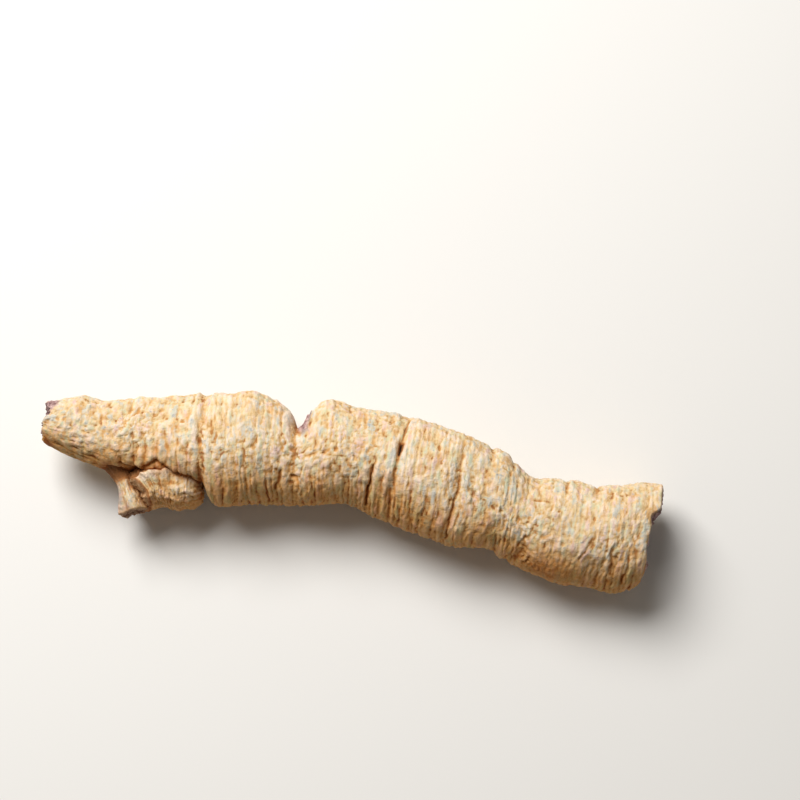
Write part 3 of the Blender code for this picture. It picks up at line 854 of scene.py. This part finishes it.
def paint_crevice_shade(pieces):
    """Paints shade into the crevices: browns each piece's bark where it runs close to another piece."""
    corners = [[tuple(v.co) for v in piece.data.vertices] for piece in pieces]
    faces = [[p.vertices for p in piece.data.polygons] for piece in pieces]
    trees = [bvhtree.BVHTree.FromPolygons(*shape) for shape in zip(corners, faces)]
    corners = [np.array(places) for places in corners]
    reach, how_brown, power = CREVICE_PAINTED_SHADE
    reach = reach * MM
    for piece, places in zip(pieces, corners):
        stain_and_painted_shade_data = piece.data.attributes["stain_and_painted_shade"].data
        for other, tree, others in zip(pieces, trees, corners):
            if other is piece:
                continue
            low, high = others.min(axis=0) - reach, others.max(axis=0) + reach
            near = np.all((places > low) & (places < high), axis=1)
            for index in np.flatnonzero(near):
                gap = tree.find_nearest(places[index].tolist(), reach)[3]
                if gap is not None:
                    brown = how_brown * (1 - gap / reach) ** power
                    stain_and_painted_shade_data[index].value = max(stain_and_painted_shade_data[index].value, brown)


def lay_out(piece):
    """Lays the bark's map along the length of the sheet, so that it wastes little of it."""
    layer = piece.data.uv_layers.active
    layer.name = "OFBake"
    spots = np.empty(len(layer.data) * 2)
    layer.data.foreach_get("uv", spots)
    spots = spots.reshape(-1, 2)
    around, along = spots.T
    longer, wider, margin = WALL_MAP
    wall = np.stack(((along - WALL_ABOVE) * longer + margin, around * wider + margin), axis=1)
    shrunk, corner = END_MAP
    laid = np.where((along >= WALL_ABOVE)[:, None], wall, spots * shrunk + corner)
    layer.data.foreach_set("uv", laid.ravel())


class Nodes:
    """Adds a material's nodes and joins them up."""

    def __init__(self, material):
        material.use_nodes = True
        self.tree = material.node_tree
        self.tree.nodes.clear()

    def add(self, kind, inputs=(), **settings):
        node = self.tree.nodes.new(kind)
        for name, value in settings.items():
            setattr(node, name, value)
        for name, value in dict(inputs).items():
            self.feed(node.inputs[name], value)
        return node

    def feed(self, socket, value):
        if isinstance(value, bpy.types.NodeSocket):
            self.tree.links.new(value, socket)
        elif isinstance(value, tuple) and len(value) == 3 and socket.type == "RGBA":
            socket.default_value = (*value, 1.0)
        else:
            socket.default_value = value

    def mapped(self, place, **how):
        return self.add("ShaderNodeMapping", {"Vector": place, **how}).outputs["Vector"]

    def noise(self, place, size, detail=3.0, roughness=0.6):
        """Cloudy noise from 0 to 1, whose patches are about this wide in mm."""
        inputs = {"Vector": place, "Scale": 1 / size, "Detail": detail, "Roughness": roughness}
        return self.add("ShaderNodeTexNoise", inputs).outputs["Fac"]

    def ramp(self, value, stops):
        node = self.add("ShaderNodeValToRGB", {"Fac": value})
        elements = node.color_ramp.elements
        while len(elements) < len(stops):
            elements.new(0.5)
        for element, (position, colour) in zip(elements, stops):
            element.position = position
            if not isinstance(colour, tuple):
                colour = (colour, colour, colour)
            element.color = (*colour, 1.0)
        return node.outputs["Color"]

    def mix(self, share, first, second, blend="MIX"):
        node = self.add("ShaderNodeMix", data_type="RGBA", blend_type=blend)
        for socket, value in ((node.inputs[0], share), (node.inputs[6], first), (node.inputs[7], second)):
            self.feed(socket, value)
        return node.outputs[2]

    def maths(self, how, first, second):
        node = self.add("ShaderNodeMath", operation=how)
        self.feed(node.inputs[0], first)
        self.feed(node.inputs[1], second)
        return node.outputs[0]

    def swing(self, value, amount):
        """A noise turned into a swing about 0."""
        return self.maths("MULTIPLY", self.maths("SUBTRACT", value, 0.5), amount)


CREAM = (0.768, 0.628, 0.488)
PEACH = (0.72, 0.52, 0.28)
TAN = (0.53, 0.34, 0.15)
RUST = (0.34, 0.13, 0.035)
ORANGE = (0.60, 0.31, 0.10)
PAINTED_SHADE_BLACK = (0.03, 0.012, 0.006)
ASH = (0.47, 0.50, 0.47)
MOSS = (0.53, 0.56, 0.36)
LILAC = (0.65, 0.45, 0.42)
PURPLE = (0.10, 0.04, 0.045)
DULL_PURPLE = (0.29, 0.175, 0.165)
# Painted shade deep in the ends' hollows.
HOLLOW_PAINTED_SHADE_PURPLE = (0.022, 0.008, 0.01)
DARK_MEAT = (0.26, 0.11, 0.05)
BROWN_MEAT = (0.50, 0.28, 0.13)
PALE_MEAT = (0.66, 0.44, 0.25)
SLATE = (0.30, 0.32, 0.34)
FLANK_PAINTED_SHADE = (0.86, 0.61, 0.345)  # painted shade: darkens and browns the bark that faces -Y, away from the window


def bark_finish():
    """Dried bark: cream crests, peach flanks, rusty furrows browned partly by painted shade, streaks of
    ash, moss and lilac, and flesh.
    """
    material = bpy.data.materials.new("dried_bark_fine")
    nodes = Nodes(material)
    straight = nodes.add("ShaderNodeAttribute", attribute_name="bark_place").outputs["Vector"]
    groove, stain_and_painted_shade, flesh, flank_painted_shade, hollow_painted_shade, ash = (
        nodes.add("ShaderNodeAttribute", attribute_name=name).outputs["Fac"]
        for name in ("groove", "stain_and_painted_shade", "flesh", "flank_painted_shade", "hollow_painted_shade", "ash")
    )
    solid = nodes.add("ShaderNodeTexCoord").outputs["Object"]
    in_mm = nodes.mapped(solid, Scale=(1000, 1000, 1000))
    drawn_out = nodes.mapped(straight, Scale=(1.0, 0.32, 0.32))
    moved = nodes.mapped(drawn_out, Location=(31, 17, 5))

    lines = nodes.noise(drawn_out, 0.55)
    crumbs = nodes.noise(in_mm, 0.7, detail=2.0)
    patches = nodes.noise(in_mm, 4.0)
    streaks = nodes.noise(drawn_out, 1.15)
    other_streaks = nodes.noise(moved, 1.1)
    specks = nodes.noise(in_mm, 0.75, detail=2.0, roughness=0.5)

    uneven = groove
    for pattern, amount in ((lines, 0.55), (crumbs, 0.7), (patches, 1.0)):
        uneven = nodes.maths("ADD", uneven, nodes.swing(pattern, amount))
    # Cream on crests to rust in the furrows: partly the furrows' own colour, partly painted shade.
    colour = nodes.ramp(uneven, ((0.15, CREAM), (0.52, PEACH), (0.85, TAN), (1.15, RUST)))
    raised = nodes.ramp(uneven, ((0.45, 1.0), (0.85, 0.1)))
    warm = nodes.maths("ADD", other_streaks, nodes.swing(uneven, 0.10))
    colour = nodes.mix(nodes.ramp(warm, ((0.54, 0.0), (0.67, 0.60))), colour, ORANGE)
    for spots, lowest, highest, share, tint in (
        (nodes.maths("ADD", streaks, nodes.maths("MULTIPLY", ash, 0.14)), 0.54, 0.66, 0.70, ASH),
        (nodes.maths("SUBTRACT", 1.0, streaks), 0.54, 0.66, 0.68, LILAC),
        (nodes.maths("SUBTRACT", 1.0, other_streaks), 0.53, 0.66, 0.65, MOSS),
        (nodes.maths("ADD", specks, nodes.maths("MULTIPLY", ash, 0.07)), 0.66, 0.72, 0.60, SLATE),
    ):
        strength = nodes.maths("MULTIPLY", nodes.ramp(spots, ((lowest, 0.0), (highest, share))), raised)
        colour = nodes.mix(strength, colour, tint)
    stain_and_painted_shade_level = nodes.maths("ADD", stain_and_painted_shade, nodes.maths("MULTIPLY", stain_and_painted_shade, nodes.swing(crumbs, 1.2)))
    brown = nodes.mix(nodes.ramp(stain_and_painted_shade_level, ((0.35, 0.0), (0.95, 1.0))), ORANGE, RUST)
    colour = nodes.mix(nodes.ramp(stain_and_painted_shade_level, ((0.15, 0.0), (0.95, 0.95))), colour, brown)
    # Painted shade: past 1.1 the stain and painted shade turn to black, inside deep cracks and crevices.
    painted_shade_black = nodes.ramp(nodes.maths("MULTIPLY", stain_and_painted_shade, 0.5), ((0.55, 0.0), (0.75, 1.0)))
    colour = nodes.mix(painted_shade_black, colour, PAINTED_SHADE_BLACK)
    # Painted shade: the bark that faces -Y is darkened and browned.
    colour = nodes.mix(flank_painted_shade, colour, FLANK_PAINTED_SHADE, "MULTIPLY")
    grain = nodes.maths("ADD", crumbs, nodes.swing(patches, 0.5))
    purple_meat = nodes.ramp(grain, ((0.30, PURPLE), (0.48, DULL_PURPLE), (0.72, LILAC)))
    # Painted shade deep in the hollow of an end.
    purple_meat = nodes.mix(hollow_painted_shade, purple_meat, HOLLOW_PAINTED_SHADE_PURPLE)
    brown_meat = nodes.ramp(crumbs, ((0.32, DARK_MEAT), (0.50, BROWN_MEAT), (0.66, PALE_MEAT)))
    colour = nodes.mix(flesh, colour, nodes.mix(stain_and_painted_shade, purple_meat, brown_meat))

    height = nodes.maths("ADD", nodes.maths("MULTIPLY", lines, 0.5), crumbs)
    bump = nodes.add("ShaderNodeBump", {"Height": height, "Strength": 1.0, "Distance": 0.00023})
    looks = {"Base Color": colour, "Roughness": 0.88, "Specular IOR Level": 0.2}
    shader = nodes.add("ShaderNodeBsdfPrincipled", {**looks, "Normal": bump.outputs["Normal"]})
    nodes.add("ShaderNodeOutputMaterial", {"Surface": shader.outputs["BSDF"]})
    return material


def table_finish():
    """A plain pale table top."""
    material = bpy.data.materials.new("pale_table")
    nodes = Nodes(material)
    shader = nodes.add("ShaderNodeBsdfPrincipled", {"Base Color": (0.80, 0.79, 0.77), "Roughness": 0.7})
    nodes.add("ShaderNodeOutputMaterial", {"Surface": shader.outputs["BSDF"]})
    return material


def dress():
    """The three pieces of bark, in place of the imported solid."""
    finish = bark_finish()
    # Each with its columns round it, its two rounds of cuts across, and each end's rings.
    pieces = (
        grow("root_bark", ROOT_RUN, 152, (23, 25), 22, (BROKEN_END, CUT_END), root_bark, 400),
        grow("lobe_bark", LOBE_RUN, 96, (9, 10), 12, (ROUND_END, LOBE_END), lobe_bark, 410),
        grow("stump_bark", STUMP_RUN, 72, (7, 8), 10, (ROUND_END, STUMP_END), stump_bark, 420),
    )
    paint_crevice_shade(pieces)
    for piece in pieces:
        lay_out(piece)
        piece.data.materials.append(finish)
        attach(piece, "root")
        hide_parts("morinda_root")


PHOTO_SIZE = 800  # pixels a side
PHOTO_SCALE = 0.175  # mm a pixel at the root
ORIGIN_IN_PHOTO = (352.5, 491.0)  # the pixel where the stations' origin is
ELEVATION = 80  # how high the photograph's camera looks down from, in degrees
AIM_HEIGHT = 8.5  # of the place that it looks at, in mm
LENS = 85.0
SENSOR = 36.0


def stand(name, data, place, aim):
    """Stands a lamp or a camera at a place and turns it to look at another."""
    holder = bpy.data.objects.new(name, data)
    bpy.context.scene.collection.objects.link(holder)
    holder.location = place
    holder.rotation_euler = (aim - place).to_track_quat("-Z", "Y").to_euler()
    return holder


def light_and_camera():
    """The table, a pale room, one window, and the photograph's own view."""
    bpy.ops.mesh.primitive_plane_add(size=6, location=(0, 0, 0))
    table = bpy.context.object
    table.name = "table"
    table.data.materials.append(table_finish())

    world = bpy.data.worlds.new("soft room")
    bpy.context.scene.world = world
    world.use_nodes = True
    world.node_tree.nodes["Background"].inputs["Color"].default_value = (1.0, 0.93, 0.84, 1.0)
    world.node_tree.nodes["Background"].inputs["Strength"].default_value = 0.15

    lamp = bpy.data.lights.new("window", "AREA")
    lamp.size = 0.34
    lamp.energy = 4.9
    lamp.color = (1.0, 0.985, 0.96)
    stand("window", lamp, Vector((-0.20, 0.31, 0.47)), Vector((0.0, 0.0, 0.008)))

    elevation = math.radians(ELEVATION)
    right, down = (place - PHOTO_SIZE / 2 for place in ORIGIN_IN_PHOTO)
    aim = Vector((
        -right * PHOTO_SCALE - BOX_MIDDLE[0],
        down * PHOTO_SCALE / math.sin(elevation) - BOX_MIDDLE[1],
        AIM_HEIGHT,
    )) * MM
    camera = bpy.data.cameras.new("photo camera")
    camera.lens = LENS
    camera.sensor_width = SENSOR
    camera.clip_start = 0.01
    away = PHOTO_SIZE * PHOTO_SCALE * MM * LENS / SENSOR
    place = aim + away * Vector((0.0, -math.cos(elevation), math.sin(elevation)))
    bpy.context.scene.camera = stand("photo camera", camera, place, aim)
    bpy.context.scene.view_settings.view_transform = "Standard"


dress()
light_and_camera()
